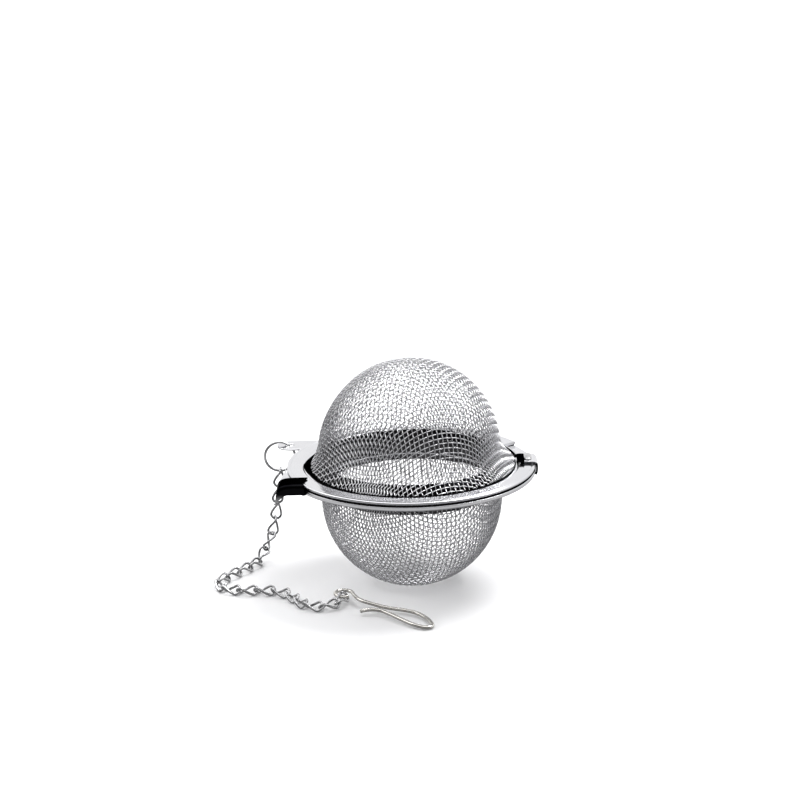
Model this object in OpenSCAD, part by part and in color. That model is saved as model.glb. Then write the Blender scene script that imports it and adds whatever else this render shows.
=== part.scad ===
// Twist-lock tea ball: two wire-cloth halves in sheet-metal rims, with a chain and a cup hook.
// The origin is the centre of the small flat that the bowl stands on. +Z is up, and -X points
// along both tabs. Angles are measured about +Z from +X.

/* [Wire cloth] */
// Outer radius of the lower bowl
bowl_r = 23.9; // [23.7:0.05:24.1]
// Height of the bowl's centre above the table
bowl_z = 23.3; // [23.1:0.05:23.5]
// Outer radius of the upper dome
dome_r = 23.6; // [23.3:0.05:23.8]
// Height of the dome's centre above the table
dome_z = 36.8; // [36.5:0.05:37]
// Thickness of the woven cloth
cloth_t = 0.6; // [0.4:0.05:0.7]
// Outer radius of the dome's flared foot
foot_r = 27.4; // [27.2:0.05:27.45]

/* [Rims] */
// Outer radius of both rims
rim_r = 32.7; // [32.5:0.05:32.9]
// Underside of the lower rim's rolled edge
rim_bottom = 30.1; // [29.9:0.05:30.2]
// Top face of the lower rim
lower_top = 31.55; // [31.5:0.01:31.56]
// Underside of the upper rim
upper_bottom = 31.7; // [31.69:0.01:31.75]
// Top face of the upper rim
upper_top = 32.47; // [32.4:0.01:32.5]
// Thickness of the sheet metal
sheet_t = 0.5; // [0.4:0.05:0.55]
// Inner radius of the upper rim
upper_rim_in = 27.5; // [27.5:0.05:27.8]
// Thickness of the two inner collars
collar_t = 0.4; // [0.3:0.05:0.45]
// Lower edge of the lower collar
collar_bottom = 25.9; // [24:0.1:27]
// Upper edge of the upper collar
collar_top = 34.2; // [33:0.1:34.3]

/* [Lock] */
// Half of the lock lug's width, in degrees
lug_half = 6.5; // [5:0.5:6.5]
// Inner radius of both lugs' lips
lip_in = 28.7; // [28.6:0.05:30]
// Gap between a lug and the upper rim
lock_gap = 0.15; // [0.1:0.01:0.2]
// First angle of the notch in the upper rim
notch_from = 8; // [7.5:0.5:9]
// Last angle of the notch in the upper rim
notch_to = 30; // [28:0.5:32]
// Radius that the notch is cut back to
notch_r = 28.5; // [28.3:0.05:28.55]
// First angle of the thumb tab's lip
thumb_lip_from = 203; // [202:0.5:204]
// Last angle of the thumb tab's lip
thumb_lip_to = 211; // [210:0.5:212]

/* [Tabs] */
// Y of the thumb tab's rear edge
thumb_rear = -7.6; // [-8:0.1:-7]
// Y of the thumb tab's front edge
thumb_front = -16.8; // [-17:0.1:-16]
// How far the thumb tab reaches from the axis
thumb_reach = 35.3; // [34.5:0.1:36]
// Length of the thumb tab's bent-down end
thumb_drop = 4.2; // [3:0.1:5]
// Y of the chain tab's centre line
chain_tab_y = 17.9; // [17.5:0.1:18]
// Width of the chain tab
chain_tab_w = 7.4; // [7:0.1:8]
// How far the chain tab reaches from the axis
chain_tab_reach = 36.1; // [36:0.1:36.5]
// Radius of the hole in the chain tab
tab_hole_r = 1.2; // [1.1:0.05:1.4]

/* [Ring, chain and hook] */
// Outer radius of the jump ring
ring_r = 4.4; // [4.3:0.05:4.5]
// Wire thickness of the jump ring
ring_wire = 0.7; // [0.6:0.05:0.7]
// Wire thickness of a chain link
link_wire = 0.6; // [0.56:0.01:0.61]
// Outer length of a chain link
link_len = 6; // [6:0.01:6.02]
// Outer width of a chain link
link_w = 3.3; // [3.3:0.01:3.32]
// Distance between neighbouring links
link_pitch = 4.6; // [4.58:0.01:4.6]
// Wire thickness of the cup hook
hook_wire = 1; // [0.9:0.05:1]
// Radius of the hook's eye, to the middle of its wire
eye_r = 2.3; // [2.2:0.05:2.4]

/* [Hidden] */
$fn = 64;

steel = [0.78, 0.78, 0.79];
cloth_steel = [0.66, 0.67, 0.68];
hook_steel = [0.8, 0.79, 0.76];

// Radius of the flat that the bowl stands on
base_r = sqrt(pow(bowl_r, 2) - pow(bowl_z, 2));
// Underside of the lower rim's flat sheet
lower_under = lower_top - sheet_t;
// Inner faces of the two collars
lower_collar_out = bowl_r - cloth_t - 0.1;
upper_collar_out = bowl_r;
// How far the edges of both rims are rounded
edge = 0.32;
// Lip heights of the lugs, and the faces of their webs
lip_z = upper_top + lock_gap;
lug_top = lip_z + sheet_t;
web_in = rim_r + 0.3;
web_out = web_in + sheet_t;
// Height and outer face of the thumb tab's plate
thumb_z = 30.6;
thumb_bend = 1.6;
// The chain tab's plate and hole
chain_tab_z = upper_bottom + 0.05;
tab_mid_z = chain_tab_z + sheet_t / 2;
ring_mid = ring_r - ring_wire / 2;
ring_drop = 2.95;
ring_x = -35.45;
ring_z = tab_mid_z - ring_drop;
hole_x = ring_x + sqrt(pow(ring_mid, 2) - pow(ring_drop, 2));

// How far a link's wire reaches past the point that it turns about
link_over = (link_len - link_wire - link_pitch) / 2;
// Radius of a link's round ends, to the middle of its wire
link_end_r = (link_w - link_wire) / 2;
// Each link's compass heading, seen from above, from the jump ring to the hook
link_heading = [180, 180, 185, 200, 225, 248, 239, 233, 230, 244,
                289, 334, 358, 354, 328, 301, 301, 335, 20, 62];
// Each link's slope: the first six hang, the others lie on the table, and the last two rise
link_slope = [-82, -84, -82, -76, -55, -28.7, 0, 0, 0, 0, 0, 0, 0, 0, 0, 0, 0, 0, 4.8, 4.2];
// Each link's roll about its own length, before every second one is turned by a right angle
link_roll = [0, 0, 10, 20, 32, 45, 45, 45, 45, 45, 45, 45, 45, 45, 45, 45, 45, 45, 46.5, 25];
// The point where the first link hangs in the jump ring
chain_start = [ring_x, chain_tab_y, ring_z - ring_mid + link_over];

function heading(i) = [
  cos(link_slope[i]) * cos(link_heading[i]),
  cos(link_slope[i]) * sin(link_heading[i]),
  sin(link_slope[i])
];
// Where link number i starts, counted from 0
function joint_at(i) = i == 0 ? chain_start : joint_at(i - 1) + link_pitch * heading(i - 1);

// The hook's own frame: its eye's centre is the origin, and it slopes down to the table
eye_gap = 0.69;
eye_heading = 111;
hook_at = joint_at(20) + (eye_r - eye_gap) * [cos(eye_heading), sin(eye_heading), 0];
hook_tilt = [1.2, 2.2, 0];
// Bends of the hook's wire after its eye, seen from above, to the cut end
hook_bends = [
  [2.8, -1.3], [4.2, -4], [7.2, -6.5], [11.2, -8.9], [15.6, -10.4], [18.6, -12], [20.9, -14.8],
  [22.3, -17.8], [22.7, -19.6], [22.1, -20.9], [20.5, -21.1], [17.9, -19.6], [14.8, -16.3],
  [11.8, -12.9], [9.8, -11], [8, -10.3], [6.2, -10.6], [4.5, -11.4]
];
// The open eye, which the last link goes through, and then the bends
hook_path = concat([for (a = [300 : -20 : 20]) eye_r * [cos(a), sin(a)]], hook_bends);

// Outline points of an arc in the plane of a turned profile
function arc(cr, cz, r, from, to, steps) = [
  for (i = [0 : steps]) let (a = from + (to - from) * i / steps) [cr + r * cos(a), cz + r * sin(a)]
];
// Point at t on a cubic curve
function cubic(a, b, c, d, t) =
  pow(1 - t, 3) * a + 3 * pow(1 - t, 2) * t * b + 3 * (1 - t) * t * t * c + pow(t, 3) * d;
// The dome's flared foot, at a distance inside its outer face
function foot_curve(inset) = [
  for (i = [1 : 6]) cubic(
    [(dome_r - inset) * cos(5), dome_z + (dome_r - inset) * sin(5)],
    [dome_r - inset + 0.1, dome_z - 0.6],
    [foot_r - 1.7 - inset, dome_z - 2.6],
    [foot_r - inset * 1.1, upper_bottom + sheet_t],
    i / 6)
];

// The woven bowl: a round bottom with a small flat, and an upright neck in the rim
module bowl_cloth() {
  low = asin(bowl_z / bowl_r);
  inner = bowl_r - cloth_t;
  color(cloth_steel) rotate_extrude($fn = 128) polygon(concat(
    [[0, 0], [base_r, 0]],
    arc(0, bowl_z, bowl_r, 6 - low, 0, 14),
    [[bowl_r, lower_under], [inner, lower_under]],
    arc(0, bowl_z, inner, 0, 10 - low, 14),
    [[0, cloth_t]]));
}

// The sleeve that holds the bowl's neck from the inside
module lower_collar() {
  color(steel) rotate_extrude($fn = 128) polygon([
    [lower_collar_out - collar_t, collar_bottom], [lower_collar_out, collar_bottom],
    [lower_collar_out, lower_top], [lower_collar_out - collar_t, lower_top]
  ]);
}

// The lower ring: a flat sheet with a rolled edge
module lower_rim() {
  hem = 0.8;
  color(steel) rotate_extrude($fn = 128) polygon([
    [lower_collar_out, lower_under], [rim_r - hem, lower_under], [rim_r - hem, rim_bottom],
    [rim_r - edge / 2, rim_bottom], [rim_r, rim_bottom + edge / 2], [rim_r, lower_top - edge],
    [rim_r - edge, lower_top], [lower_collar_out, lower_top]
  ]);
}

// A strap that is folded around both rims, from one angle to another
module strap(from, to) {
  rotate([0, 0, from]) rotate_extrude(angle = to - from, $fn = 128) polygon([
    [rim_r, rim_bottom], [web_out, rim_bottom], [web_out, lug_top - 0.2],
    [web_out - 0.2, lug_top], [lip_in, lug_top], [lip_in, lip_z], [web_in, lip_z],
    [web_in, rim_bottom + sheet_t], [rim_r, rim_bottom + sheet_t]
  ]);
}

// The lug that the upper rim turns under, with a round bead on its lip
module lock_lug() {
  bead_r = 1.1;
  color(steel) union() {
    strap(-lug_half, lug_half);
    translate([31, 0, lug_top - 0.1]) cylinder(h = 0.5, r1 = bead_r, r2 = bead_r - 0.3);
  }
}

// The lower half's finger tab: a folded strap and a plate with a bent-down end
module thumb_tab() {
  width = thumb_rear - thumb_front;
  turn_x = -thumb_reach + thumb_bend;
  top = thumb_z + sheet_t;
  plate_in = (web_in + web_out) / 2;
  // Depth of the flange along the plate's front edge
  flange = 1.7;
  color(steel) union() {
    strap(thumb_lip_from, thumb_lip_to);
    difference() {
      translate([0, thumb_rear, 0]) rotate([90, 0, 0]) linear_extrude(width) polygon(concat(
        [[-20, thumb_z], [-20, top]],
        arc(turn_x, top - thumb_bend, thumb_bend, 90, 180, 6),
        [[-thumb_reach, top - thumb_drop], [-thumb_reach + sheet_t, top - thumb_drop]],
        arc(turn_x, top - thumb_bend, thumb_bend - sheet_t, 180, 90, 6)));
      translate([0, 0, thumb_z - 10]) cylinder(h = 20, r = plate_in, $fn = 128);
      for (side = [thumb_front, thumb_rear])
        translate([-thumb_reach, side, top - thumb_drop]) rotate([0, 90, 0])
          cylinder(h = 1.2, r = 2, center = true, $fn = 4);
    }
    intersection() {
      translate([-thumb_reach + thumb_bend, thumb_front, thumb_z - flange])
        cube([10, sheet_t, flange + 0.1]);
      difference() {
        cylinder(h = 60, r = 60);
        translate([0, 0, -1]) cylinder(h = 62, r = plate_in, $fn = 128);
      }
    }
  }
}

// The woven dome: a round top with a foot that flares out into the upper rim
module dome_cloth() {
  outer = foot_curve(0);
  inner = foot_curve(cloth_t);
  last = len(inner) - 1;
  color(cloth_steel) rotate_extrude($fn = 128) polygon(concat(
    [[0, dome_z + dome_r]],
    arc(0, dome_z, dome_r, 84, 5, 16),
    outer,
    [for (i = [0 : last]) inner[last - i]],
    arc(0, dome_z, dome_r - cloth_t, 5, 84, 16),
    [[0, dome_z + dome_r - cloth_t]]));
}

// The collar that holds the dome's foot down on a flat washer
module upper_collar() {
  color(steel) rotate_extrude($fn = 128) polygon([
    [upper_collar_out - collar_t, upper_bottom], [upper_rim_in, upper_bottom],
    [upper_rim_in, upper_bottom + sheet_t], [upper_collar_out, upper_bottom + sheet_t],
    [upper_collar_out, collar_top], [upper_collar_out - collar_t, collar_top]
  ]);
}

// The upper ring, cut back in one notch that lets the lock lug through
module upper_rim() {
  color(steel) difference() {
    rotate_extrude($fn = 128) polygon([
      [upper_rim_in, upper_bottom], [rim_r - edge, upper_bottom], [rim_r, upper_bottom + edge],
      [rim_r, upper_top - edge], [rim_r - edge, upper_top], [upper_rim_in, upper_top]
    ]);
    rotate([0, 0, notch_from]) rotate_extrude(angle = notch_to - notch_from, $fn = 128)
      translate([notch_r, upper_bottom - 1]) square([10, 4]);
  }
}

// The upper half's tab, with the hole for the jump ring
module chain_tab() {
  tip_r = chain_tab_w / 2;
  color(steel) difference() {
    translate([0, 0, chain_tab_z]) union() {
      translate([tip_r - chain_tab_reach, chain_tab_y, 0]) cylinder(h = sheet_t, r = tip_r);
      translate([tip_r - chain_tab_reach, chain_tab_y - tip_r, 0]) cube([12, chain_tab_w, sheet_t]);
    }
    translate([0, 0, chain_tab_z - 5]) cylinder(h = 10, r = rim_r, $fn = 128);
    translate([hole_x, chain_tab_y, chain_tab_z - 5]) cylinder(h = 10, r = tab_hole_r);
  }
}

// The split ring that joins the chain to its tab
module jump_ring() {
  color(steel) translate([ring_x, chain_tab_y, ring_z]) rotate([90, 0, 0])
    rotate_extrude() translate([ring_mid, 0]) circle(d = ring_wire, $fn = 24);
}

// One round-ended link, lying along +X from the point that it turns about
module link() {
  near = link_end_r - link_over;
  far = link_pitch - near;
  for (end = [[near, 90], [far, -90]])
    translate([end[0], 0, 0]) rotate([0, 0, end[1]]) rotate_extrude(angle = 180)
      translate([link_end_r, 0]) circle(d = link_wire, $fn = 24);
  for (side = [-1, 1])
    translate([near, side * link_end_r, 0]) rotate([0, 90, 0])
      cylinder(h = far - near, d = link_wire, $fn = 24);
}

// Link number i of the chain, counted from 0, where it hangs or lies
module chain_link(i) {
  roll = link_roll[i] + (i % 2) * 90;
  color(steel) translate(joint_at(i)) rotate([roll, -link_slope[i], link_heading[i]]) link();
}

// Point at t between the second and third of four points on a smooth curve
function between(p, q, r, s, t) =
  0.5 * (2 * q + (r - p) * t + (2 * p - 5 * q + 4 * r - s) * t * t + (3 * q - p - 3 * r + s) * pow(t, 3));
// A path with extra points between its own, so that it bends smoothly
function smooth(path, steps) = let (last = len(path) - 1) concat(
  [for (i = [0 : last - 1], k = [0 : steps - 1])
    between(path[max(i - 1, 0)], path[i], path[i + 1], path[min(i + 2, last)], k / steps)],
  [path[last]]);

// A round wire of a given thickness along a flat path
module flat_wire(path, wire, sides) {
  last = len(path) - 1;
  rings = [
    for (i = [0 : last])
      let (step = path[min(i + 1, last)] - path[max(i - 1, 0)], out = [step[1], -step[0]] / norm(step))
        for (k = [0 : sides - 1]) let (a = 360 * k / sides) [
          path[i][0] + out[0] * cos(a) * wire / 2, path[i][1] + out[1] * cos(a) * wire / 2,
          sin(a) * wire / 2
        ]
  ];
  walls = [
    for (i = [0 : last - 1], k = [0 : sides - 1]) let (n = (k + 1) % sides)
      [i * sides + k, i * sides + n, (i + 1) * sides + n, (i + 1) * sides + k]
  ];
  ends = [[for (k = [0 : sides - 1]) sides - 1 - k], [for (k = [0 : sides - 1]) last * sides + k]];
  polyhedron(rings, concat(walls, ends), convexity = 10);
}

// The cup hook: a flat open eye and a long spring clip of one wire
module cup_hook() {
  color(hook_steel) translate(hook_at) rotate(hook_tilt)
    flat_wire(smooth(hook_path, 3), hook_wire, 10);
}

bowl_cloth();
lower_collar();
lower_rim();
lock_lug();
thumb_tab();
dome_cloth();
upper_collar();
upper_rim();
chain_tab();
jump_ring();
chain_link(0);  // chain_link_01
chain_link(1);  // chain_link_02
chain_link(2);  // chain_link_03
chain_link(3);  // chain_link_04
chain_link(4);  // chain_link_05
chain_link(5);  // chain_link_06
chain_link(6);  // chain_link_07
chain_link(7);  // chain_link_08
chain_link(8);  // chain_link_09
chain_link(9);  // chain_link_10
chain_link(10);  // chain_link_11
chain_link(11);  // chain_link_12
chain_link(12);  // chain_link_13
chain_link(13);  // chain_link_14
chain_link(14);  // chain_link_15
chain_link(15);  // chain_link_16
chain_link(16);  // chain_link_17
chain_link(17);  // chain_link_18
chain_link(18);  // chain_link_19
chain_link(19);  // chain_link_20
cup_hook();
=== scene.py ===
"""Looks for the twist-lock tea ball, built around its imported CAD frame.

Lengths in the tables below are in millimetres, in the CAD's frame, and become metres in the meshes.
"""
import math

import bmesh
import bpy
import numpy as np
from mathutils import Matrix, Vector


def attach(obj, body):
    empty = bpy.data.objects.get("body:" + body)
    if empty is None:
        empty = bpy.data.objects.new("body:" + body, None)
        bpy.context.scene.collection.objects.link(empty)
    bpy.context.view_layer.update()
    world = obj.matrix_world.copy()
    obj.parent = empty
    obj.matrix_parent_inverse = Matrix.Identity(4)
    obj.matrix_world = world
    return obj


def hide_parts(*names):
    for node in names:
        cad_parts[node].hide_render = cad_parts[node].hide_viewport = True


MM = 0.001

# Sizes that repeat those of the CAD source
BOWL_R = 23.9
BOWL_Z = 23.3
DOME_R = 23.6
DOME_Z = 36.8
CLOTH = 0.6
FOOT_R = 27.4
RIM_R = 32.7
RIM_BOTTOM = 30.1
LOWER_TOP = 31.55
UPPER_BOTTOM = 31.7
UPPER_TOP = 32.47
SHEET = 0.5
RING_R = 4.4
RING_WIRE = 0.7
RING_DROP = 2.95
RING_X = -35.45
TAB_Y = 17.9
TAB_Z = 31.75
LINK_WIRE = 0.6
# The twisted links are of thicker wire than the plain ones that stand in for them
TWISTED_WIRE = 0.66
LINK_LEN = 6.0
LINK_W = 3.3
LINK_PITCH = 4.6
LINK_HEADING = [180, 180, 185, 200, 225, 248, 239, 233, 230, 244,
                289, 334, 358, 354, 328, 301, 301, 335, 20, 62]
LINK_SLOPE = [-82, -84, -82, -76, -55, -28.7, 0, 0, 0, 0, 0, 0, 0, 0, 0, 0, 0, 0, 4.8, 4.2]
# Roll of each link's middle: upright where the chain hangs, flat where it lies
LINK_ROLL = [45, 45, 50, 56, 40, 20, 6, 0, 0, 0, 0, 0, 0, 0, 0, 0, 0, 0, 0, 10]
HOOK_WIRE = 1.0
EYE_R = 2.3
EYE_GAP = 0.69
EYE_HEADING = 111
HOOK_TILT = (1.2, 2.2)
HOOK_BENDS = [
    (2.8, -1.3), (4.2, -4), (7.2, -6.5), (11.2, -8.9), (15.6, -10.4), (18.6, -12), (20.9, -14.8),
    (22.3, -17.8), (22.7, -19.6), (22.1, -20.9), (20.5, -21.1), (17.9, -19.6), (14.8, -16.3),
    (11.8, -12.9), (9.8, -11), (8, -10.3), (6.2, -10.6), (4.5, -11.4)]

# The weave: distance between wires, wire thickness, and the compass heading of one family
PITCH = 1.27
CLOTH_WIRE = 0.28
WEAVE_TURN = 21.5


def sin(a):
    return math.sin(math.radians(a))


def cos(a):
    return math.cos(math.radians(a))


def turned(rx, ry, rz):
    """Matrix that turns about X, then Y, then Z, by degrees."""
    x = np.array([[1, 0, 0], [0, cos(rx), -sin(rx)], [0, sin(rx), cos(rx)]])
    y = np.array([[cos(ry), 0, sin(ry)], [0, 1, 0], [-sin(ry), 0, cos(ry)]])
    z = np.array([[cos(rz), -sin(rz), 0], [sin(rz), cos(rz), 0], [0, 0, 1]])
    return z @ y @ x


# ---------------------------------------------------------------- materials

def metal(name, color, rough, rough_spread=0.06, scratch=0.25, bump=0.04, tint=None, mottled=9.0, tip=None,
          edge=1.0):
    """Steel with uneven polish: fine scratches, soft mottling and a faint change of colour."""
    m = bpy.data.materials.new(name)
    m.use_nodes = True
    nodes = m.node_tree.nodes
    links = m.node_tree.links
    shader = nodes["Principled BSDF"]
    shader.inputs["Metallic"].default_value = 1.0
    shader.inputs["Specular Tint"].default_value = (edge, edge, edge, 1)
    place = nodes.new("ShaderNodeTexCoord")
    patches = nodes.new("ShaderNodeTexNoise")
    patches.inputs["Scale"].default_value = 1000 / mottled
    patches.inputs["Detail"].default_value = 5
    links.new(place.outputs["Object"], patches.inputs["Vector"])
    stretch = nodes.new("ShaderNodeMapping")
    stretch.inputs["Scale"].default_value = (400, 6000, 400)
    links.new(place.outputs["Object"], stretch.inputs["Vector"])
    lines = nodes.new("ShaderNodeTexNoise")
    lines.inputs["Scale"].default_value = 1.0
    lines.inputs["Detail"].default_value = 4
    links.new(stretch.outputs["Vector"], lines.inputs["Vector"])
    ramp = nodes.new("ShaderNodeValToRGB")
    ramp.color_ramp.elements[0].position = 0.3
    ramp.color_ramp.elements[1].position = 0.7
    dark = tint or tuple(c * 0.86 for c in color)
    ramp.color_ramp.elements[0].color = (*dark, 1)
    ramp.color_ramp.elements[1].color = (*color, 1)
    links.new(patches.outputs["Fac"], ramp.inputs["Fac"])
    links.new(ramp.outputs["Color"], shader.inputs["Base Color"])
    if tip:
        # Painted paler reflection below a height: top of the change, bottom of the change, colour
        height = nodes.new("ShaderNodeSeparateXYZ")
        links.new(place.outputs["Object"], height.inputs["Vector"])
        painted_reflection_share = nodes.new("ShaderNodeMapRange")
        painted_reflection_share.interpolation_type = "SMOOTHSTEP"
        painted_reflection_share.inputs["From Min"].default_value = tip[0] * MM
        painted_reflection_share.inputs["From Max"].default_value = tip[1] * MM
        links.new(height.outputs["Z"], painted_reflection_share.inputs["Value"])
        blend = nodes.new("ShaderNodeMix")
        blend.data_type = "RGBA"
        blend.inputs["B"].default_value = (*tip[2], 1)
        links.new(painted_reflection_share.outputs["Result"], blend.inputs["Factor"])
        links.new(ramp.outputs["Color"], blend.inputs["A"])
        links.new(blend.outputs["Result"], shader.inputs["Base Color"])
    both = nodes.new("ShaderNodeMix")
    both.inputs["Factor"].default_value = scratch
    links.new(patches.outputs["Fac"], both.inputs["A"])
    links.new(lines.outputs["Fac"], both.inputs["B"])
    spread = nodes.new("ShaderNodeMapRange")
    spread.inputs["From Min"].default_value = 0.3
    spread.inputs["From Max"].default_value = 0.7
    spread.inputs["To Min"].default_value = max(rough - rough_spread, 0.02)
    spread.inputs["To Max"].default_value = rough + rough_spread
    links.new(both.outputs["Result"], spread.inputs["Value"])
    links.new(spread.outputs["Result"], shader.inputs["Roughness"])
    dents = nodes.new("ShaderNodeBump")
    dents.inputs["Strength"].default_value = bump
    dents.inputs["Distance"].default_value = 0.0002
    links.new(lines.outputs["Fac"], dents.inputs["Height"])
    links.new(dents.outputs["Normal"], shader.inputs["Normal"])
    return m


# ---------------------------------------------------------------- mesh helpers

def piece(name, verts, faces, material, sharp=35):
    """A mesh piece from points in millimetres, smooth except at its sharp edges."""
    mesh = bpy.data.meshes.new(name)
    mesh.from_pydata((np.asarray(verts, float) * MM).tolist(), [], [list(f) for f in faces])
    mesh.materials.append(material)
    mesh.polygons.foreach_set("use_smooth", [True] * len(mesh.polygons))
    obj = bpy.data.objects.new(name, mesh)
    bpy.context.scene.collection.objects.link(obj)
    tidy = bmesh.new()
    tidy.from_mesh(mesh)
    bmesh.ops.recalc_face_normals(tidy, faces=tidy.faces)
    tidy.to_mesh(mesh)
    tidy.free()
    mesh.set_sharp_from_angle(angle=math.radians(sharp))
    return obj


def grid(loops, closed_loops, closed_across):
    """Quads between neighbouring loops of one length."""
    n = len(loops)
    k = len(loops[0])
    verts = np.concatenate([np.asarray(l, float) for l in loops])
    faces = []
    for i in range(n if closed_loops else n - 1):
        a = i * k
        b = ((i + 1) % n) * k
        for j in range(k if closed_across else k - 1):
            c = (j + 1) % k
            faces.append((a + j, a + c, b + c, b + j))
    return verts, faces


def rounded(corners, steps=5):
    """A closed outline with each corner (x, y, radius) rounded."""
    pts = [np.array(c[:2], float) for c in corners]
    out = []
    n = len(pts)
    for i, c in enumerate(corners):
        p = pts[i]
        a = pts[i - 1] - p
        b = pts[(i + 1) % n] - p
        la = np.linalg.norm(a)
        lb = np.linalg.norm(b)
        a = a / la
        b = b / lb
        half = math.acos(max(-1.0, min(1.0, float(a @ b)))) / 2
        r = c[2]
        if r <= 0 or half > math.radians(88):
            out.append(p)
            continue
        cut = min(r / math.tan(half), la * 0.49, lb * 0.49)
        r = cut * math.tan(half)
        centre = p + (a + b) / np.linalg.norm(a + b) * (r / math.sin(half))
        start = p + a * cut - centre
        end = p + b * cut - centre
        a0 = math.atan2(start[1], start[0])
        turn = (math.atan2(end[1], end[0]) - a0 + math.pi) % (2 * math.pi) - math.pi
        for k in range(steps + 1):
            t = a0 + turn * k / steps
            out.append(centre + r * np.array([math.cos(t), math.sin(t)]))
    return out


def revolve(name, outline, material, segments=240, start=0.0, end=360.0, sharp=35, dip=None):
    """An outline of (radius, height) turned about Z, all the way round or from start to end."""
    full = end - start >= 360
    loops = []
    for i in range(segments if full else segments + 1):
        a = start + (end - start) * i / segments
        loops.append([((p[0] + (dip(a, p) if dip else 0)) * cos(a),
                       (p[0] + (dip(a, p) if dip else 0)) * sin(a), p[1]) for p in outline])
    verts, faces = grid(loops, full, True)
    if not full:
        k = len(outline)
        faces.append(tuple(range(k)))
        faces.append(tuple(range(len(verts) - k, len(verts))))
    return piece(name, verts, faces, material, sharp)


def frames(points, closed):
    """Side and up directions along a path that don't twist."""
    p = np.asarray(points, float)
    n = len(p)
    if closed:
        t = np.roll(p, -1, 0) - np.roll(p, 1, 0)
    else:
        t = np.gradient(p, axis=0)
    t /= np.linalg.norm(t, axis=1)[:, None]
    side = np.zeros_like(p)
    start = np.array([0.3, 0.2, 1.0])
    s = start - (start @ t[0]) * t[0]
    side[0] = s / np.linalg.norm(s)
    for i in range(1, n):
        s = side[i - 1] - (side[i - 1] @ t[i]) * t[i]
        side[i] = s / np.linalg.norm(s)
    if closed:
        s = side[-1] - (side[-1] @ t[0]) * t[0]
        s /= np.linalg.norm(s)
        off = math.atan2(float(np.cross(s, side[0]) @ t[0]), float(s @ side[0]))
        for i in range(n):
            a = off * i / n
            side[i] = side[i] * math.cos(a) + np.cross(t[i], side[i]) * math.sin(a)
    return t, side, np.cross(t, side)


def tube(name, points, radius, material, closed=False, sides=14, round_ends=False):
    """A round wire along a path."""
    p = np.asarray(points, float)
    t, side, up = frames(p, closed)
    ring = np.arange(sides) * 2 * math.pi / sides
    circle = np.cos(ring)[None, :, None] * side[:, None, :] + np.sin(ring)[None, :, None] * up[:, None, :]
    loops = list(p[:, None, :] + circle * radius)
    if not closed:
        soft = radius * 0.25
        loops.insert(0, p[0] - t[0] * soft + circle[0] * (radius - soft))
        loops.append(p[-1] + t[-1] * soft + circle[-1] * (radius - soft))
    verts, faces = grid(loops, closed, True)
    if not closed:
        faces.append(tuple(range(sides)))
        faces.append(tuple(range(len(verts) - sides, len(verts))))
    return piece(name, verts, faces, material, 50)


def smooth(path, steps):
    """More points on a smooth curve through the path."""
    p = [np.array(q, float) for q in path]
    out = []
    last = len(p) - 1
    for i in range(last):
        a, b, c, d = p[max(i - 1, 0)], p[i], p[i + 1], p[min(i + 2, last)]
        for k in range(steps):
            t = k / steps
            out.append(0.5 * (2 * b + (c - a) * t + (2 * a - 5 * b + 4 * c - d) * t * t
                              + (3 * b - a - 3 * c + d) * t ** 3))
    out.append(p[last])
    return out


def plate(name, outer, hole, z0, z1, material, soft=0.12):
    """A flat plate between an outer outline and a hole's outline of as many points."""
    outer = np.asarray(outer, float)
    hole = np.asarray(hole, float)
    centre = outer.mean(0)
    hole_centre = hole.mean(0)

    def ring(outline, middle, inset, z):
        d = outline - middle
        d = d * (1 - inset / np.linalg.norm(d, axis=1))[:, None]
        return np.c_[middle + d, np.full(len(d), z)]
    loops = [ring(outer, centre, soft, z0), ring(outer, centre, 0, z0 + soft),
             ring(outer, centre, 0, z1 - soft),
             ring(outer, centre, soft, z1), ring(hole, hole_centre, -soft, z1),
             ring(hole, hole_centre, 0, z1 - soft), ring(hole, hole_centre, 0, z0 + soft),
             ring(hole, hole_centre, -soft, z0)]
    verts, faces = grid(loops, True, True)
    return piece(name, verts, faces, material, 30)


# ---------------------------------------------------------------- woven cloth

class Surface:
    """A surface turned about Z, from a profile that starts on the axis."""

    def __init__(self, profile):
        p = np.asarray(profile, float)
        step = np.hypot(*np.diff(p, axis=0).T)
        self.s = np.r_[0, np.cumsum(step)]
        self.length = self.s[-1]
        fine = np.linspace(0, self.length, 4000)
        self.fine = fine
        self.r = np.interp(fine, self.s, p[:, 0])
        self.z = np.interp(fine, self.s, p[:, 1])
        self.gap = fine[1]
        # Past its edge the surface goes on straight, so that the net can be cut at the edge
        self.end = np.array([self.r[-1] - self.r[-20], self.z[-1] - self.z[-20]])
        self.end /= np.linalg.norm(self.end)

    def at(self, s):
        """Radius and height at a distance from the axis along the profile."""
        over = max(0.0, s - self.length)
        u = min(s, self.length) / self.gap
        i = min(int(u), len(self.fine) - 2)
        f = u - i
        r = self.r[i] + (self.r[i + 1] - self.r[i]) * f + self.end[0] * over
        z = self.z[i] + (self.z[i + 1] - self.z[i]) * f + self.end[1] * over
        return r, z

    def point(self, s, a):
        r, z = self.at(s)
        return np.array([r * math.cos(a), r * math.sin(a), z])

    def normals(self, s, a):
        """Outward normals at many places."""
        i = np.clip((np.asarray(s) / self.gap).astype(int), 2, len(self.fine) - 3)
        dr = self.r[i + 2] - self.r[i - 2]
        dz = self.z[i + 2] - self.z[i - 2]
        size = np.hypot(dr, dz)
        return np.c_[dz / size * np.cos(a), dz / size * np.sin(a), -dr / size]


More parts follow.
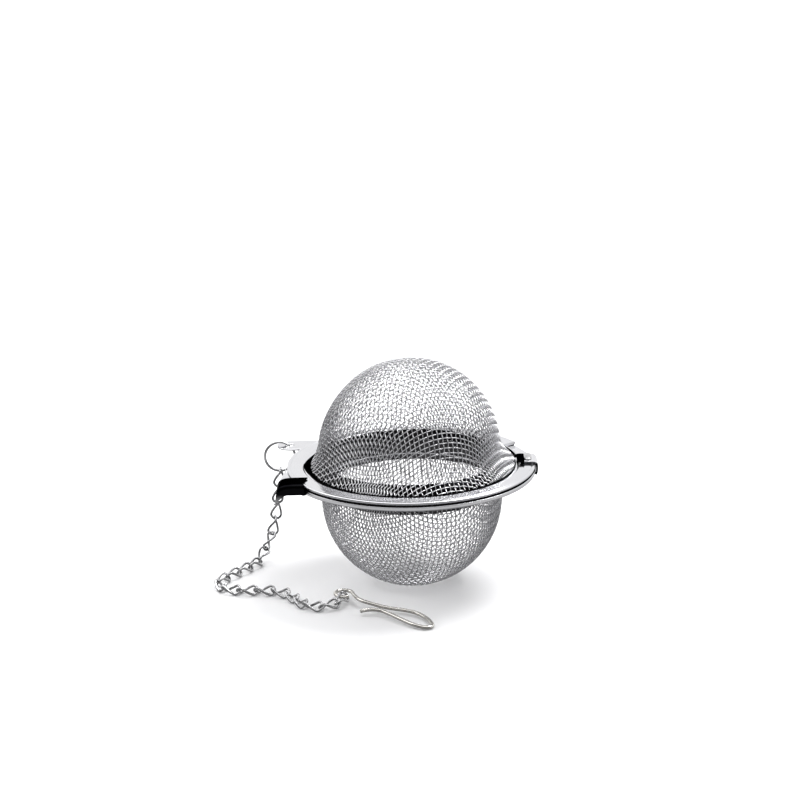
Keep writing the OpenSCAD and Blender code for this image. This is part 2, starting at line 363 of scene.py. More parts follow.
def weave_quadrant(surface, pitch, count):
    """Crossings of a cloth whose wires keep their spacing when it is pressed to shape, in one quarter."""
    place = {(0, 0): (0.0, 0.0)}
    point = {(0, 0): surface.point(0.0, 0.0)}
    limit = surface.length + 1.2 * pitch
    for i in range(1, count):
        for axis, key in ((0.0, (i, 0)), (math.pi / 2, (0, i))):
            s = i * pitch
            if s < limit:
                place[key] = (s, axis)
                point[key] = surface.point(s, axis)
    for total in range(2, 2 * count):
        for i in range(1, total):
            j = total - i
            if i >= count or j >= count:
                continue
            if (i - 1, j) not in place or (i, j - 1) not in place or (i - 1, j - 1) not in place:
                continue
            a = point[(i - 1, j)]
            b = point[(i, j - 1)]
            guess = a + b - point[(i - 1, j - 1)]
            radius = math.hypot(guess[0], guess[1])
            angle = math.atan2(guess[1], guess[0])
            s = max(place[(i - 1, j)][0], place[(i, j - 1)][0])
            if i == j:
                angle = math.pi / 4
            s_prev = place[(i - 1, j - 1)][0]
            s = s_prev + pitch * 1.4 if radius > 0 else s
            done = False
            for _ in range(14):
                p = surface.point(s, angle)
                f1 = (p - a) @ (p - a) - pitch ** 2
                f2 = (p - b) @ (p - b) - pitch ** 2
                if abs(f1) + abs(f2) < 1e-7:
                    done = True
                    break
                h = 1e-4
                ps = (surface.point(s + h, angle) - p) / h
                pa = (surface.point(s, angle + h) - p) / h
                jac = np.array([[2 * (p - a) @ ps, 2 * (p - a) @ pa], [2 * (p - b) @ ps, 2 * (p - b) @ pa]])
                det = jac[0, 0] * jac[1, 1] - jac[0, 1] * jac[1, 0]
                if abs(det) < 1e-9:
                    break
                ds = (f1 * jac[1, 1] - f2 * jac[0, 1]) / det
                da = (f2 * jac[0, 0] - f1 * jac[1, 0]) / det
                s -= max(-0.6, min(0.6, ds))
                angle -= max(-0.15, min(0.15, da))
            if not done or s <= s_prev or s > limit:
                continue
            place[(i, j)] = (s, angle)
            point[(i, j)] = surface.point(s, angle)
    return place


def weave(surface, pitch, turn):
    """Both families of wires of the whole cloth: for each wire, its crossings' places and side."""
    count = int(surface.length / pitch * 1.35) + 3
    quarter = weave_quadrant(surface, pitch, count)
    net = {}
    for (i, j), (s, a) in quarter.items():
        for q in range(4):
            x, y = (i, j) if q % 2 == 0 else (-j, i)
            if q >= 2:
                x, y = -x, -y
            net[(x, y)] = (s, a + q * math.pi / 2 + math.radians(turn))
    wires = ([], [])
    for family in (0, 1):
        lanes = {}
        for key, value in net.items():
            lanes.setdefault(key[1 - family], []).append((key[family], value))
        for lane, cells in sorted(lanes.items()):
            cells.sort()
            run = [cells[0]]
            for cell in cells[1:]:
                if cell[0] != run[-1][0] + 1:
                    if len(run) > 1:
                        wires[family].append((lane, run))
                    run = []
                run.append(cell)
            if len(run) > 1:
                wires[family].append((lane, run))
    return wires


def cloth_piece(name, surface, wires, family, wire, material, steps=4, sides=5):
    """One family of wires as round tubes that pass over and under the other family."""
    all_verts = []
    all_faces = []
    offset = 0
    ring = np.arange(sides) * 2 * math.pi / sides
    for lane, run in wires:
        index = np.array([c[0] for c in run], float)
        s = np.array([c[1][0] for c in run])
        a = np.array([c[1][1] for c in run])
        flat = np.array([surface.point(si, ai) for si, ai in zip(s, a)])
        t = np.arange(index[0], index[-1] + 1e-6, 1 / steps)
        k = np.clip((t - index[0]).astype(int), 0, len(run) - 2)
        f = (t - index[0] - k)[:, None]
        before = flat[np.maximum(k - 1, 0)]
        after = flat[np.minimum(k + 2, len(run) - 1)]
        b, c = flat[k], flat[k + 1]
        p = 0.5 * (2 * b + (c - before) * f + (2 * before - 5 * b + 4 * c - after) * f * f
                   + (3 * b - before - 3 * c + after) * f ** 3)
        away = np.interp(t, index, s)
        keep = away <= surface.length
        if keep.sum() < 3:
            continue
        # The last point beyond the edge is pulled back onto it, so that every wire ends level
        for edge, step in ((0, 1), (len(t) - 1, -1)):
            i = edge
            while not keep[i]:
                i += step
            if i != edge:
                j = i - step
                u = (surface.length - away[i]) / max(away[j] - away[i], 1e-9)
                p[j] = p[i] + (p[j] - p[i]) * u
                away[j] = surface.length
                keep[j] = u > 0.2
        p, t, away = p[keep], t[keep], away[keep]
        angle = np.arctan2(p[:, 1], p[:, 0])
        normal = surface.normals(away, angle)
        sign = 1 if (lane + family) % 2 == 0 else -1
        p = p + normal * (sign * wire / 2 * np.cos(np.pi * t))[:, None]
        along = np.gradient(p, axis=0)
        along /= np.linalg.norm(along, axis=1)[:, None]
        side = np.cross(along, normal)
        side /= np.linalg.norm(side, axis=1)[:, None]
        up = np.cross(side, along)
        circle = (np.cos(ring)[None, :, None] * side[:, None, :]
                  + np.sin(ring)[None, :, None] * up[:, None, :])
        verts = (p[:, None, :] + circle * wire / 2).reshape(-1, 3)
        n = len(p)
        base = np.arange(n - 1)[:, None] * sides + np.arange(sides)[None, :]
        nxt = np.arange(n - 1)[:, None] * sides + (np.arange(sides)[None, :] + 1) % sides
        quads = np.stack([base, nxt, nxt + sides, base + sides], -1).reshape(-1, 4) + offset
        all_verts.append(verts)
        all_faces.extend(quads.tolist())
        all_faces.append([offset + q for q in reversed(range(sides))])
        all_faces.append([offset + (n - 1) * sides + q for q in range(sides)])
        offset += len(verts)
    mesh = bpy.data.meshes.new(name)
    mesh.from_pydata((np.concatenate(all_verts) * MM).tolist(), [], all_faces)
    mesh.materials.append(material)
    mesh.polygons.foreach_set("use_smooth", [True] * len(mesh.polygons))
    obj = bpy.data.objects.new(name, mesh)
    bpy.context.scene.collection.objects.link(obj)
    return obj


def arc(cr, cz, r, start, end, steps):
    return [(cr + r * cos(start + (end - start) * i / steps), cz + r * sin(start + (end - start) * i / steps))
            for i in range(steps + 1)]


# ---------------------------------------------------------------- the frame, camera and studio

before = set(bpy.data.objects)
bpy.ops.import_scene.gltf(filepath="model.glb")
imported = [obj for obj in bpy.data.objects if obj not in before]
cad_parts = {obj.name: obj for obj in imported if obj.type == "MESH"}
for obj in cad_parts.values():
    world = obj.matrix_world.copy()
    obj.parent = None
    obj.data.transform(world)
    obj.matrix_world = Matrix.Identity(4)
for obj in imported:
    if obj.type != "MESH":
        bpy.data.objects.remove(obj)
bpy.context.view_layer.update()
scene = bpy.context.scene

elevation = 16.603
roll = -1.203
target = np.array([-2.62, 0.0, 49.62])
reach = 600.0
back = np.array([0, -cos(elevation), sin(elevation)])
level_up = np.cross(back, np.array([1.0, 0, 0]))
right = cos(roll) * np.array([1.0, 0, 0]) + sin(roll) * level_up
up = -sin(roll) * np.array([1.0, 0, 0]) + cos(roll) * level_up
lens = bpy.data.cameras.new("camera")
lens.lens = 103.46
lens.sensor_width = 36
lens.sensor_fit = "HORIZONTAL"
lens.clip_start = 0.01
lens.clip_end = 30
camera = bpy.data.objects.new("camera", lens)
scene.collection.objects.link(camera)
spot = target + reach * back
camera.matrix_world = [[right[0], up[0], back[0], spot[0] * MM], [right[1], up[1], back[1], spot[1] * MM],
                       [right[2], up[2], back[2], spot[2] * MM], [0, 0, 0, 1]]
camera.matrix_world.transpose()
bpy.context.view_layer.update()
scene.camera = camera


def studio():
    """A white sweep behind and under the object, soft white light from above and behind, and a dark front."""
    floor_material = bpy.data.materials.new("pale_floor")
    floor_material.use_nodes = True
    shader = floor_material.node_tree.nodes["Principled BSDF"]
    shader.inputs["Base Color"].default_value = (0.93, 0.93, 0.94, 1)
    shader.inputs["Roughness"].default_value = 0.6
    shader.inputs["Specular IOR Level"].default_value = 0.25
    wide = 5000
    sweep = [(-1500, 0), (3000, 0)] + [(3000 + 800 * sin(a), 800 - 800 * cos(a)) for a in range(10, 91, 10)]
    sweep.append((3800, 3500))
    verts = []
    for y, z in sweep:
        verts += [(-wide, y, z), (wide, y, z)]
    faces = [(2 * i, 2 * i + 1, 2 * i + 3, 2 * i + 2) for i in range(len(sweep) - 1)]
    floor = piece("floor", verts, faces, floor_material, 40)
    # Steel reflects the studio's dark front and floor edge, and not the lit sweep itself
    floor.visible_glossy = False

    world = bpy.data.worlds.new("studio")
    world.use_nodes = True
    scene.world = world
    nodes = world.node_tree.nodes
    links = world.node_tree.links
    background = nodes["Background"]
    where = nodes.new("ShaderNodeTexCoord")
    split = nodes.new("ShaderNodeSeparateXYZ")
    links.new(where.outputs["Generated"], split.inputs["Vector"])
    # The light comes from behind and a little from the right
    sideways = nodes.new("ShaderNodeMath")
    sideways.operation = "MULTIPLY_ADD"
    sideways.inputs[1].default_value = 0.6
    links.new(split.outputs["X"], sideways.inputs[0])
    links.new(split.outputs["Y"], sideways.inputs[2])
    lit = nodes.new("ShaderNodeMapRange")
    lit.interpolation_type = "SMOOTHSTEP"
    lit.inputs["From Min"].default_value = -0.5
    lit.inputs["From Max"].default_value = 0.45
    links.new(sideways.outputs["Value"], lit.inputs["Value"])
    above = nodes.new("ShaderNodeMapRange")
    above.interpolation_type = "SMOOTHSTEP"
    above.inputs["From Min"].default_value = 0.5
    above.inputs["From Max"].default_value = 0.85
    links.new(split.outputs["Z"], above.inputs["Value"])
    most = nodes.new("ShaderNodeMath")
    most.operation = "MAXIMUM"
    links.new(lit.outputs["Result"], most.inputs[0])
    links.new(above.outputs["Result"], most.inputs[1])
    below = nodes.new("ShaderNodeMapRange")
    below.interpolation_type = "SMOOTHSTEP"
    below.inputs["From Min"].default_value = -0.6
    below.inputs["From Max"].default_value = 0.05
    below.inputs["To Min"].default_value = 0.25
    links.new(split.outputs["Z"], below.inputs["Value"])
    both = nodes.new("ShaderNodeMath")
    both.operation = "MULTIPLY"
    links.new(most.outputs["Value"], both.inputs[0])
    links.new(below.outputs["Result"], both.inputs[1])
    # The pale table in front of the object, dark again under it
    slope = nodes.new("ShaderNodeMapRange")
    slope.inputs["From Min"].default_value = -1.0
    slope.inputs["From Max"].default_value = 0.0
    links.new(split.outputs["Z"], slope.inputs["Value"])
    table = nodes.new("ShaderNodeValToRGB")
    stops = ((0.0, 0.02), (0.36, 0.07), (0.62, 0.6), (0.8, 0.5), (0.93, 0.0))
    for i, (at, value) in enumerate(stops):
        stop = table.color_ramp.elements[i] if i < 2 else table.color_ramp.elements.new(at)
        stop.position = at
        stop.color = (value, value, value, 1)
    links.new(slope.outputs["Result"], table.inputs["Fac"])
    either = nodes.new("ShaderNodeMath")
    either.operation = "MAXIMUM"
    links.new(both.outputs["Value"], either.inputs[0])
    links.new(table.outputs["Color"], either.inputs[1])
    ramp = nodes.new("ShaderNodeValToRGB")
    ramp.color_ramp.elements[0].color = (0.06, 0.06, 0.062, 1)
    ramp.color_ramp.elements[1].color = (1.0, 1.0, 1.0, 1)
    links.new(either.outputs["Value"], ramp.inputs["Fac"])
    links.new(ramp.outputs["Color"], background.inputs["Color"])
    # Overhead, the soft light is stronger than the white around it
    stronger = nodes.new("ShaderNodeMath")
    stronger.operation = "MULTIPLY_ADD"
    stronger.inputs[1].default_value = 0.7
    stronger.inputs[2].default_value = 1.0
    links.new(above.outputs["Result"], stronger.inputs[0])
    links.new(stronger.outputs["Value"], background.inputs["Strength"])


def panel(name, place, toward, size, power, mirrored):
    """A soft white light panel, which the steel may mirror or not."""
    light = bpy.data.lights.new(name, "AREA")
    light.shape = "RECTANGLE"
    light.size = size[0]
    light.size_y = size[1]
    light.energy = power
    obj = bpy.data.objects.new(name, light)
    scene.collection.objects.link(obj)
    obj.location = place
    obj.rotation_euler = (Vector(toward) - Vector(place)).to_track_quat("-Z", "Y").to_euler()
    obj.visible_glossy = mirrored
    return obj


studio()
panel("overhead", (0.4, 0.3, 0.9), (0, 0, 0), (0.5, 0.45), 7.0, True)
panel("backdrop", (0.0, 1.6, 1.4), (0, 1.5, 0), (2.4, 1.6), 13.0, False)
panel("left_side", (-0.8, 0.1, 0.5), (0, 0, 0.03), (0.5, 0.6), 1.5, True)

wire_steel = metal("drawn_wire", (0.74, 0.74, 0.76), 0.24, 0.07, 0.3, 0.05, (0.6, 0.6, 0.62), 3.0)
sheet_steel = metal("polished_sheet", (0.8, 0.8, 0.82), 0.13, 0.04, 0.25, 0.03, (0.73, 0.73, 0.76), 14.0)
# Near-black steel that paints shade and dark reflection: the shadowed gaps and crease of the rims, and faces
# that mirror the studio's dark front
painted_shade_and_reflection_steel = metal("painted_shade_and_reflection_sheet", (0.01, 0.01, 0.011), 0.25, 0.06, 0.2, 0.05, (0.003, 0.003, 0.004), 5.0,
                   edge=0.15)
# Near-black for the upper collar: painted shade and painted dark reflection under the dome's foot
painted_shade_sleeve_steel = metal("painted_shade_sleeve_sheet", (0.022, 0.022, 0.024), 0.3, 0.08, 0.3, 0.05, (0.01, 0.01, 0.012), 6.0,
                     edge=0.3)
# Dark grey for the lower collar: painted shade inside the bowl's rim
painted_shade_collar_steel = metal("painted_shade_collar_sheet", (0.13, 0.13, 0.135), 0.25, 0.08, 0.3, 0.05, (0.07, 0.07, 0.075), 6.0,
                     edge=0.6)
# Near-black for the thumb tab's cap: a painted dark reflection, made paler below a height as a painted
# reflection on its bent-down tip
painted_reflection_thumb_steel = metal("painted_reflection_thumb_sheet", (0.009, 0.009, 0.01), 0.22, 0.06, 0.2, 0.05, (0.003, 0.003, 0.004), 5.0,
                    tip=(30.4, 27.8, (0.6, 0.6, 0.61)), edge=0.15)
chain_steel = metal("plated_links", (0.74, 0.74, 0.75), 0.12, 0.05, 0.2, 0.04, (0.3, 0.3, 0.31), 2.5)
hook_steel = metal("plated_hook", (0.8, 0.785, 0.75), 0.15, 0.05, 0.2, 0.04, (0.68, 0.66, 0.62), 6.0)


# ---------------------------------------------------------------- the two woven halves

def cloth_half(name, surface, pitch, wire, turn, body, node, lean=None):
    """Both families of one half's wires, each split into two pieces; lean moves their points along X."""
    families = weave(surface, pitch, turn)
    woven = []
    for family, label in ((0, "warp"), (1, "weft")):
        near = [w for w in families[family] if w[0] < 0]
        far = [w for w in families[family] if w[0] >= 0]
        for wires, part in ((near, "a"), (far, "b")):
            obj = cloth_piece(f"{name}_{label}_{part}", surface, wires, family, wire, wire_steel)
            if lean:
                for v in obj.data.vertices:
                    v.co.x += lean(v.co / MM) * MM
            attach(obj, body)
            woven.append(obj)
    for obj in woven:
        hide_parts(node)


mid = CLOTH / 2
base_r = math.sqrt(BOWL_R ** 2 - BOWL_Z ** 2)
low = math.degrees(math.asin(BOWL_Z / BOWL_R))
bowl_profile = [(0, CLOTH_WIRE), (base_r * 0.9, CLOTH_WIRE)]
bowl_profile += arc(0, BOWL_Z, BOWL_R - mid, 8 - low, 0, 60)
bowl_profile += [(BOWL_R - mid, LOWER_TOP - SHEET - 0.1)]
bowl = Surface(bowl_profile)
cloth_half("bowl", bowl, PITCH, CLOTH_WIRE, WEAVE_TURN, "lower_half", "bowl_cloth")


def cubic(a, b, c, d, t):
    a, b, c, d = (np.array(q, float) for q in (a, b, c, d))
    return (1 - t) ** 3 * a + 3 * (1 - t) ** 2 * t * b + 3 * (1 - t) * t * t * c + t ** 3 * d


dome_profile = arc(0, DOME_Z, DOME_R - mid, 90, 5, 70)
dome_profile += [tuple(cubic(((DOME_R - mid) * cos(5), DOME_Z + (DOME_R - mid) * sin(5)),
                             (DOME_R - mid + 0.1, DOME_Z - 0.6), (FOOT_R - 1.7 - mid, DOME_Z - 2.6),
                             (FOOT_R - mid * 0.6, UPPER_BOTTOM + SHEET + 0.15), i / 24))
                  for i in range(1, 25)]
dome = Surface(dome_profile)


def lean(p):
    """The dome was pressed a little off true: fuller on its -X side, with a steeper foot there."""
    if p.x > 0:
        return 0.0
    share = abs(p.x / max(math.hypot(p.x, p.y), 1.0)) ** (2 if p.z > 35 else 5)
    return share * float(np.interp(p.z, (32.3, 33.2, 34.5, 36.0, 38.0, 41.0, 45.0, 51.0),
                                   (1.0, 0.7, 0.1, -0.5, -0.8, -0.7, -0.4, 0.0)))


cloth_half("dome", dome, PITCH, CLOTH_WIRE, WEAVE_TURN, "upper_half", "dome_cloth", lean)


# ---------------------------------------------------------------- rims and collars

def made(obj, body, slot, *nodes):
    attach(obj, body)
    if nodes:
        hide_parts(*nodes)
    return obj


NOTCH_FROM = 8
NOTCH_TO = 30
NOTCH_R = 28.5


def notch(a, p):
    """How far the upper rim is cut back at an angle."""
    a = a % 360
    inside = min(max(a - NOTCH_FROM, 0), max(NOTCH_TO - a, 0))
    if inside <= 0 or p[0] < NOTCH_R - 0.5:
        return 0.0
    share = min(1.0, inside / 1.2)
    share = share * share * (3 - 2 * share)
    goal = NOTCH_R - 0.35 + (p[0] - NOTCH_R) * 0.12
    return (goal - p[0]) * share


upper_outline = rounded([
    (27.5, UPPER_BOTTOM, 0.05), (RIM_R, UPPER_BOTTOM, 0.3), (RIM_R, UPPER_TOP, 0.33),
    (31.95, UPPER_TOP, 0.08), (31.8, UPPER_TOP - 0.14, 0.05), (31.65, UPPER_TOP - 0.02, 0.08),
    (28.7, UPPER_TOP + 0.03, 0.2), (28.25, UPPER_TOP - 0.4, 0.1), (27.5, UPPER_TOP - 0.4, 0.05)], 4)
dense = []
for i, p in enumerate(upper_outline):
    dense.append(p)
    q = upper_outline[(i + 1) % len(upper_outline)]
    gap = np.linalg.norm(q - p)
    for k in range(1, int(gap / 0.8) + 1):
        dense.append(p + (q - p) * k / (int(gap / 0.8) + 1))
made(revolve("upper_rim_ring", dense, sheet_steel, 360, dip=notch), "upper_half", "sheet_steel", "upper_rim")

lower_outline = rounded([
    (23.25, LOWER_TOP - SHEET, 0.05), (RIM_R - 0.8, LOWER_TOP - SHEET, 0.1), (RIM_R - 0.8, RIM_BOTTOM, 0.15),
    (RIM_R, RIM_BOTTOM, 0.3), (RIM_R, LOWER_TOP - 0.36, 0.15), (31.9, LOWER_TOP - 0.36, 0.05),
    (31.9, LOWER_TOP, 0.05), (23.25, LOWER_TOP, 0.05)], 5)
# The upper rim's painted shade, in near-black pieces: the crease at the dome's foot, the hem's shadow gap
# over the lower rim, and a groove's shadow line
crease = rounded([(26.4, 32.08, 0.05), (28.1, 32.08, 0.05), (28.32, 32.36, 0.05), (28.0, 32.25, 0.1),
                  (26.4, 32.24, 0.05)], 3)


def crease_edge(a, p):
    """The crease opens out on the -X side and in the notch, and closes up elsewhere."""
    if p[0] < 27.5:
        return 0.0
    left = max(0.0, 1 - abs(a - 180) / 18)
    front = 0.12 * max(0.0, 1 - abs(a - 232) / 34)
    cut = 1.0 if NOTCH_FROM < a < NOTCH_TO else 0.0
    open_by = max(left * left * (3 - 2 * left), front, cut)
    return -0.75 * (1 - open_by)


made(revolve("upper_rim_crease", crease, painted_shade_and_reflection_steel, 300, dip=crease_edge), "upper_half", "sheet_steel")
hem = rounded([(32.0, 31.24, 0.05), (32.42, 31.24, 0.05), (32.42, 31.75, 0.05), (32.0, 31.75, 0.05)], 3)
made(revolve("upper_rim_hem", hem, painted_shade_and_reflection_steel, 300, NOTCH_TO + 0.5, NOTCH_FROM + 359.5), "upper_half",
     "sheet_steel")
groove = [(31.93 * cos(a), 31.93 * sin(a), UPPER_TOP - 0.06) for a in range(226, 303, 2)]
made(tube("upper_rim_groove", groove, 0.11, painted_shade_and_reflection_steel, sides=10), "upper_half", "sheet_steel")
made(revolve("lower_rim_ring", lower_outline, sheet_steel, 300), "lower_half", "sheet_steel", "lower_rim")

lower_collar = rounded([
    (22.8, 25.9, 0.18), (23.2, 25.9, 0.18), (23.2, LOWER_TOP, 0.1), (22.8, LOWER_TOP, 0.1),
    (22.8, 27.8, 0.1), (22.62, 27.6, 0.1), (22.8, 27.4, 0.1)], 3)
made(revolve("lower_collar_sleeve", lower_collar, painted_shade_collar_steel, 220), "lower_half", "sheet_steel",
     "lower_collar")
bead = [(22.7 * cos(a), 22.7 * sin(a), 27.6) for a in range(0, 360, 2)]
made(tube("lower_collar_bead", bead, 0.2, sheet_steel, closed=True, sides=10), "lower_half", "sheet_steel")

upper_collar = rounded([
    (23.5, UPPER_BOTTOM, 0.1), (27.45, UPPER_BOTTOM, 0.1), (27.45, UPPER_BOTTOM + SHEET, 0.15),
    (23.9, UPPER_BOTTOM + SHEET, 0.2), (23.9, 34.2, 0.18), (23.5, 34.2, 0.18)], 3)
made(revolve("upper_collar_sleeve", upper_collar, painted_shade_sleeve_steel, 220), "upper_half", "sheet_steel",
     "upper_collar")


# ---------------------------------------------------------------- lock lug and tabs

def sheet_path(path, thick):
    """A closed outline around a path, as a sheet of some thickness."""
    p = np.array(smooth(path, 6))
    t = np.gradient(p, axis=0)
    t /= np.linalg.norm(t, axis=1)[:, None]
    out = np.c_[-t[:, 1], t[:, 0]]
    a = p + out * thick / 2
    b = p - out * thick / 2
    return list(a) + list(b[::-1])


lip_mid = UPPER_TOP + 0.15 + SHEET / 2
lug_path = [(29.6, lip_mid + 0.05), (31.0, lip_mid), (32.2, lip_mid - 0.02), (32.9, lip_mid - 0.3),
            (33.08, 32.0), (33.08, 31.0), (32.98, 30.2), (32.7, 29.8)]
made(revolve("lock_lug_strap", sheet_path(lug_path, 0.34), sheet_steel, 14, -6.1, 6.6, 40),
     "lower_half", "sheet_steel", "lock_lug")
# The strap's bent end is near-black: a painted dark reflection
made(revolve("lock_lug_end", sheet_path(lug_path[3:], 0.5), painted_shade_and_reflection_steel, 4, -7.4, -6.1, 40),
     "lower_half", "sheet_steel")
# The lip is near-black: painted shade and painted dark reflection
lip_path = [(27.75, 32.95), (28.3, 33.1), (29.0, 33.12), (29.75, 33.08)]
made(revolve("lock_lug_lip", sheet_path(lip_path, 0.5), painted_shade_and_reflection_steel, 12, -6.9, 5.6, 40),
     "lower_half", "sheet_steel")


def knob(name, centre, size, material):
    """A low pressed bead with a finely grooved skin."""
    rows = 14
    cols = 48
    loops = []
    for i in range(rows + 1):
        b = 90 * i / rows
        ring = []
        for j in range(cols):
            a = 360 * j / cols
            groove = 1 - 0.02 * (j % 2) * (1 if 0 < i < rows else 0)
            # Squarer than an ellipse, as a bead pressed in sheet is
            cx = math.copysign(abs(cos(a)) ** 0.6, cos(a))
            cy = math.copysign(abs(sin(a)) ** 0.6, sin(a))
            w = cos(b) ** 0.35 if i < rows else 0.02
            ring.append((centre[0] + size[0] * cx * w * groove, centre[1] + size[1] * cy * w * groove,
                         centre[2] + size[2] * sin(b) ** 0.8))
        loops.append(ring)
    verts, faces = grid(loops, False, True)
    faces.append(tuple(range(cols)))
    faces.append(tuple(range(len(verts) - cols, len(verts))))
    return piece(name, verts, faces, material, 60)


made(knob("lock_lug_bead", (30.6, 0.7, lip_mid + 0.05), (1.05, 2.8, 0.7), chain_steel),
     "lower_half", "sheet_steel")

# The thumb tab: a web outside both rims, and a pressed cap over them with a bent-down tip
web = rounded([(31.6, 29.72, 0.05), (33.2, 29.72, 0.25), (33.2, 32.6, 0.1), (32.86, 32.6, 0.1),
               (32.86, 30.02, 0.05), (31.6, 30.02, 0.05)], 3)
# The web is near-black: painted shade outside the rims
made(revolve("thumb_tab_web", web, painted_shade_and_reflection_steel, 16, 202.5, 212.0, 40), "lower_half", "sheet_steel")


def tab_cap():
    """The cap of the thumb tab: one sheet that bends down at its front edge and at its tip."""
    run = np.array(smooth([(-27.5, 33.0), (-29.2, 33.0), (-31.2, 32.98), (-32.8, 32.8), (-33.9, 32.4),
                           (-34.6, 31.6), (-34.9, 30.4), (-35.05, 29.2), (-35.15, 28.2), (-35.15, 27.5)], 6))
    across = np.array(smooth([(0, 0), (0.25, 0.02), (0.5, 0), (0.75, 0.01), (0.9, 0.03), (0.97, 0.14),
                              (1.0, 0.35), (1.0, 0.6), (1.0, 0.85), (0.99, 1.0)], 4))
    far = np.r_[0, np.cumsum(np.hypot(*np.diff(run, axis=0).T))]
    share = far / far[-1]
    top = np.zeros((len(run), len(across), 3))
    for i, (x, z) in enumerate(run):
        # Past the bend the sheet narrows to a rounded tip
        pinch = max(0.0, (share[i] - 0.62) / 0.38)
        rear = -12.3 - 0.9 * max(0.0, share[i] - 0.45) - 3.6 * pinch ** 1.6
        front = -18.1 + 0.3 * pinch
        # The front wall deepens towards the tip
        foot = 30.1 - 2.3 * max(0.0, (-32.2 - x) / 2.95) ** 1.4
        wall = max(z - foot, 0.0)
        # The inner edge runs to a point at its rear corner
        ease = max(0.0, 1 - share[i] * 5)
        for j, (v, down) in enumerate(across):
            dent = 0.05 * sin(180 * min(v, 1)) * (1 - pinch)
            inner = float(np.interp(v + down, (0, 0.25, 0.5, 1.0, 2.0), (0.6, 0.1, -0.35, -0.3, 0.0)))
            top[i, j] = (x + ease * inner, rear + (front - rear) * v, z - wall * down - dent)
    du = np.gradient(top, axis=0)
    dv = np.gradient(top, axis=1)
    normal = np.cross(du, dv)
    size = np.linalg.norm(normal, axis=2, keepdims=True)
    normal /= np.maximum(size, 1e-6)
    if normal[2, 4, 2] < 0:
        normal = -normal
    under = top - normal * 0.36
    rows, k = top.shape[:2]
    verts = np.concatenate([top.reshape(-1, 3), under.reshape(-1, 3)])
    n = rows * k
    faces = []
    for i in range(rows - 1):
        for j in range(k - 1):
            q = (i * k + j, i * k + j + 1, (i + 1) * k + j + 1, (i + 1) * k + j)
            faces.append(q)
            faces.append(tuple(n + v for v in reversed(q)))
    rim = ([(0, j) for j in range(k)] + [(i, k - 1) for i in range(1, rows)]
           + [(rows - 1, j) for j in range(k - 2, -1, -1)] + [(i, 0) for i in range(rows - 2, 0, -1)])
    for a, b in zip(rim, rim[1:] + rim[:1]):
        p = a[0] * k + a[1]
        q = b[0] * k + b[1]
        faces.append((p, q, n + q, n + p))
    return piece("thumb_tab_cap", verts, faces, painted_reflection_thumb_steel, 50)




def tab_shoulder():
    """The pale shoulder of the tab, between the rim's edge and the cap."""
    rows = 14
    cols = 6
    loops = []
    for i in range(rows + 1):
        y = -1.0 - 11.8 * i / rows
        inner = -math.sqrt(32.95 ** 2 - y * y)
        reach_out = float(np.interp(-y, (1.0, 4.0, 8.0, 11.0, 12.8), (33.05, 33.2, 33.9, 34.25, 33.9)))
        outer = min(-reach_out, inner - 0.1)
        line = [(inner + (outer - inner) * j / cols, y, 31.98 - 0.25 * (j / cols) ** 3)
                for j in range(cols + 1)]
        line += [(x, y, z - 0.4) for x, y, z in reversed(line)]
        loops.append(line)
    verts, faces = grid(loops, False, True)
    k = len(loops[0])
    faces.append(tuple(range(k)))
    faces.append(tuple(range(len(verts) - k, len(verts))))
    return piece("thumb_tab_shoulder", verts, faces, sheet_steel, 40)


made(tab_shoulder(), "lower_half", "sheet_steel")
# The cap is near-black, a painted dark reflection, with a painted paler reflection on its tip
made(tab_cap(), "lower_half", "sheet_steel", "thumb_tab")

tip = 3.7
outer = []
for i in range(72):
    a = 90 + 360 * (i + 0.5) / 72
    # A long tab: the rounded tip outside, and a straight run that ends under the rim
    x = tip * cos(a)
    if cos(a) > 0:
        x = min(9.2, abs(cos(a) / max(abs(sin(a)), 1e-6)) * tip)
        y = tip if sin(a) > 0 else -tip
        if x >= 9.2:
            y = 9.2 * sin(a) / cos(a)
    else:
        y = tip * sin(a)
    outer.append((-36.1 + tip + x, TAB_Y + y))
hole_x = RING_X + math.sqrt((RING_R - RING_WIRE / 2) ** 2 - RING_DROP ** 2)
hole = [(hole_x + 1.2 * cos(90 + 360 * (i + 0.5) / 72), TAB_Y + 1.2 * sin(90 + 360 * (i + 0.5) / 72))
        for i in range(72)]
keep_out = 32.75
outer = [p if math.hypot(*p) >= keep_out else
         (-math.sqrt(max(keep_out ** 2 - p[1] ** 2, 0)), p[1]) for p in outer]
made(plate("chain_tab_plate", outer, hole, TAB_Z, TAB_Z + SHEET, sheet_steel),
     "upper_half", "sheet_steel", "chain_tab")


# ---------------------------------------------------------------- ring, chain and hook

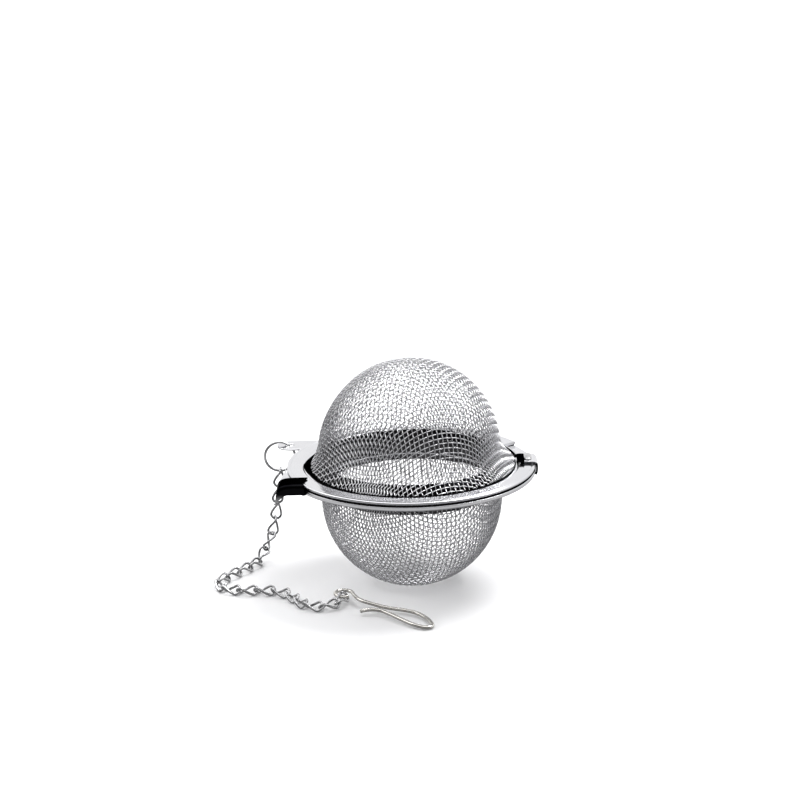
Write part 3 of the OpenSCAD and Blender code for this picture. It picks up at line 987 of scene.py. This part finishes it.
ring_mid = RING_R - RING_WIRE / 2
ring_z = TAB_Z + SHEET / 2 - RING_DROP
turns = [48 + 352 * i / 90 for i in range(91)]
ring_path = [(RING_X + ring_mid * cos(a), TAB_Y + 0.25 * (i / 90 - 0.5), ring_z + ring_mid * sin(a))
             for i, a in enumerate(turns)]
made(tube("jump_ring_wire", ring_path, RING_WIRE / 2, chain_steel, sides=14), "jump_ring", "plated_wire",
     "jump_ring")

over = (LINK_LEN - LINK_WIRE - LINK_PITCH) / 2
end_r = (LINK_W - LINK_WIRE) / 2
near = end_r - over
far = LINK_PITCH - near


def link_path(twist):
    """A round-ended link along +X, twisted along its length."""
    flat = []
    for i in range(17):
        a = -90 + 180 * i / 16
        flat.append((far + end_r * cos(a), end_r * sin(a)))
    for i in range(1, 8):
        flat.append((far + (near - far) * i / 8, end_r))
    for i in range(17):
        a = 90 + 180 * i / 16
        flat.append((near + end_r * cos(a), end_r * sin(a)))
    for i in range(1, 8):
        flat.append((near + (far - near) * i / 8, -end_r))
    out = []
    for x, y in flat:
        t = min(1.0, max(0.0, (x - near * 0.6) / (far + near * 0.4 - near * 0.6)))
        a = twist * (t - 0.5)
        out.append((x, y * cos(a), y * sin(a)))
    return np.array(out)


joint = np.array([RING_X, TAB_Y, ring_z - ring_mid + over])
for i in range(20):
    heading, slope = LINK_HEADING[i], LINK_SLOPE[i]
    points = link_path(90) @ turned(LINK_ROLL[i], -slope, heading).T + joint
    made(tube(f"chain_link_{i + 1:02d}_wire", points, TWISTED_WIRE / 2, chain_steel, closed=True, sides=12),
         f"link_{i + 1:02d}", "plated_wire", f"chain_link_{i + 1:02d}")
    joint = joint + LINK_PITCH * np.array([cos(slope) * cos(heading), cos(slope) * sin(heading), sin(slope)])

hook_at = joint + (EYE_R - EYE_GAP) * np.array([cos(EYE_HEADING), sin(EYE_HEADING), 0])
hook_flat = smooth([(EYE_R * cos(a), EYE_R * sin(a)) for a in range(300, 19, -20)] + HOOK_BENDS, 6)
hook_points = np.c_[np.array(hook_flat), np.zeros(len(hook_flat))]
hook_points = hook_points @ turned(HOOK_TILT[0], HOOK_TILT[1], 0).T + hook_at
made(tube("cup_hook_wire", hook_points, HOOK_WIRE / 2, hook_steel, sides=16), "hook", "hook_wire", "cup_hook")

scene.view_settings.view_transform = "Standard"
